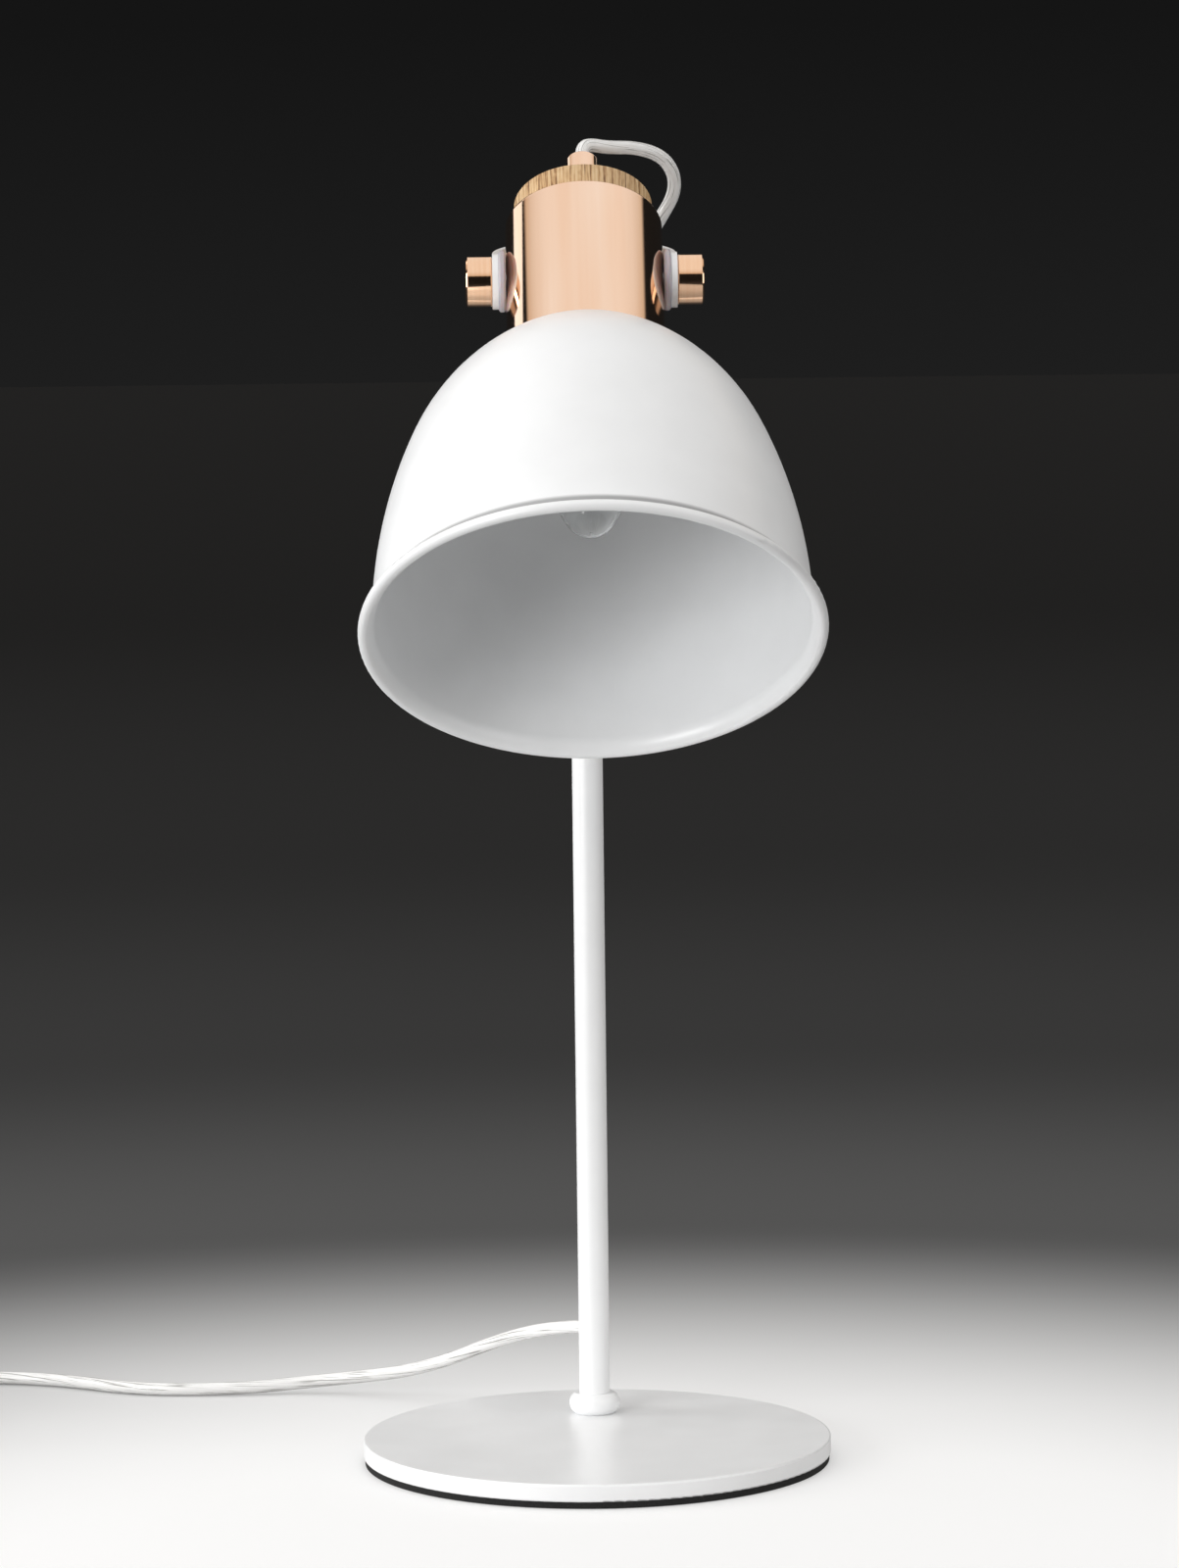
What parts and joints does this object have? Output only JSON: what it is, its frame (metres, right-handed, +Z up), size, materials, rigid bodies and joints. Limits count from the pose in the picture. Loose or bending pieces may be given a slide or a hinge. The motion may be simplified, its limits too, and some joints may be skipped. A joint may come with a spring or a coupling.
{
  "type": "desk lamp",
  "caption": "Adjustable desk lamp: round weighted foot, thin stem, forked bar and a tilting domed metal shade with a copper collar, wood disc and slack cord loop.",
  "frame": {"origin": "middle of the foot's underside, on the table", "axes": "+X the lamp's right seen from the front, +Y to the back where the stem stands, +Z up the stem"},
  "size_m": [0.476, 0.3629, 0.5062],
  "materials": {
    "white_powder_coat": "satin",
    "black_foam": "matte",
    "zinc_steel": "zinc plated",
    "black_rubber": "satin",
    "copper_plate": "polished copper plate",
    "oiled_oak": "oiled",
    "white_resin": "moulded",
    "glazed_ceramic": "glazed",
    "nickel_brass": "plated",
    "clear_glass": "clear",
    "black_glass": "gloss",
    "clear_nylon": "translucent",
    "clear_cord": "clear sheath over tinned strands",
    "black_webbing": "woven",
    "white_plastic": "moulded"
  },
  "bodies": {
    "stand": {"base_plate": "white_powder_coat", "base_pad": "black_foam", "base_screw": "zinc_steel", "stem_insert": "zinc_steel", "foot_collar": "white_powder_coat", "stem_tube": "white_powder_coat", "upper_grommet": "black_rubber", "lower_grommet": "black_rubber", "yoke": "white_powder_coat", "yoke_screw": "zinc_steel", "yoke_block": "white_powder_coat", "cord_loop": "clear_cord", "cord_in_stem": "clear_cord", "cord_lead": "clear_cord", "cord_link": "clear_cord", "cord_coil": "clear_cord", "cord_tail": "clear_cord", "coil_tie": "black_webbing", "switch_base": "white_plastic", "switch_cover": "white_plastic", "switch_screws": "zinc_steel", "switch_terminals": "nickel_brass", "plug_shell": "white_plastic", "plug_pins": "nickel_brass", "plug_relief": "white_plastic"},
    "head": {"copper_collar": "copper_plate", "wood_disc": "oiled_oak", "cord_gland": "copper_plate", "gland_grub_screw": "zinc_steel", "threaded_nipple": "zinc_steel", "lock_washer": "zinc_steel", "lock_nut": "zinc_steel", "holder_cap": "white_resin", "holder_body": "white_resin", "holder_insert": "glazed_ceramic", "screw_shell": "nickel_brass", "centre_contact": "nickel_brass", "shade_ring": "white_resin", "shade": "white_powder_coat", "bulb_glass": "clear_glass", "bulb_cap": "nickel_brass", "bulb_insulator": "black_glass", "bulb_contact": "zinc_steel", "bulb_mount": "clear_glass", "bulb_filament": "zinc_steel", "right_pivot_nut": "zinc_steel", "left_pivot_nut": "zinc_steel", "right_washer": "clear_nylon", "left_washer": "clear_nylon", "cord_in_head": "clear_cord"},
    "right_knob": {"right_knob": "copper_plate", "right_stud": "zinc_steel"},
    "left_knob": {"left_knob": "copper_plate", "left_stud": "zinc_steel"},
    "rocker": {"switch_rocker": "white_plastic"}
  },
  "joints": [
    {"name": "head_tilt", "type": "hinge", "parent": "stand", "child": "head", "pos_m": [0, -0.024, 0.452], "axis": [-1, 0, 0], "range_deg": [-26, 30], "deforming": ["cord_loop"]},
    {"name": "right_knob_turn", "type": "hinge", "parent": "head", "child": "right_knob", "pos_m": [0.04, -0.024, 0.452], "axis": [1, 0, 0], "range_deg": [0, 180]},
    {"name": "left_knob_turn", "type": "hinge", "parent": "head", "child": "left_knob", "pos_m": [-0.04, -0.024, 0.452], "axis": [-1, 0, 0], "range_deg": [0, 180]},
    {"name": "rocker_tip", "type": "hinge", "parent": "stand", "child": "rocker", "pos_m": [-0.306, 0.165, 0.0105], "axis": [0, 1, 0], "range_deg": [0, 16]}
  ]
}
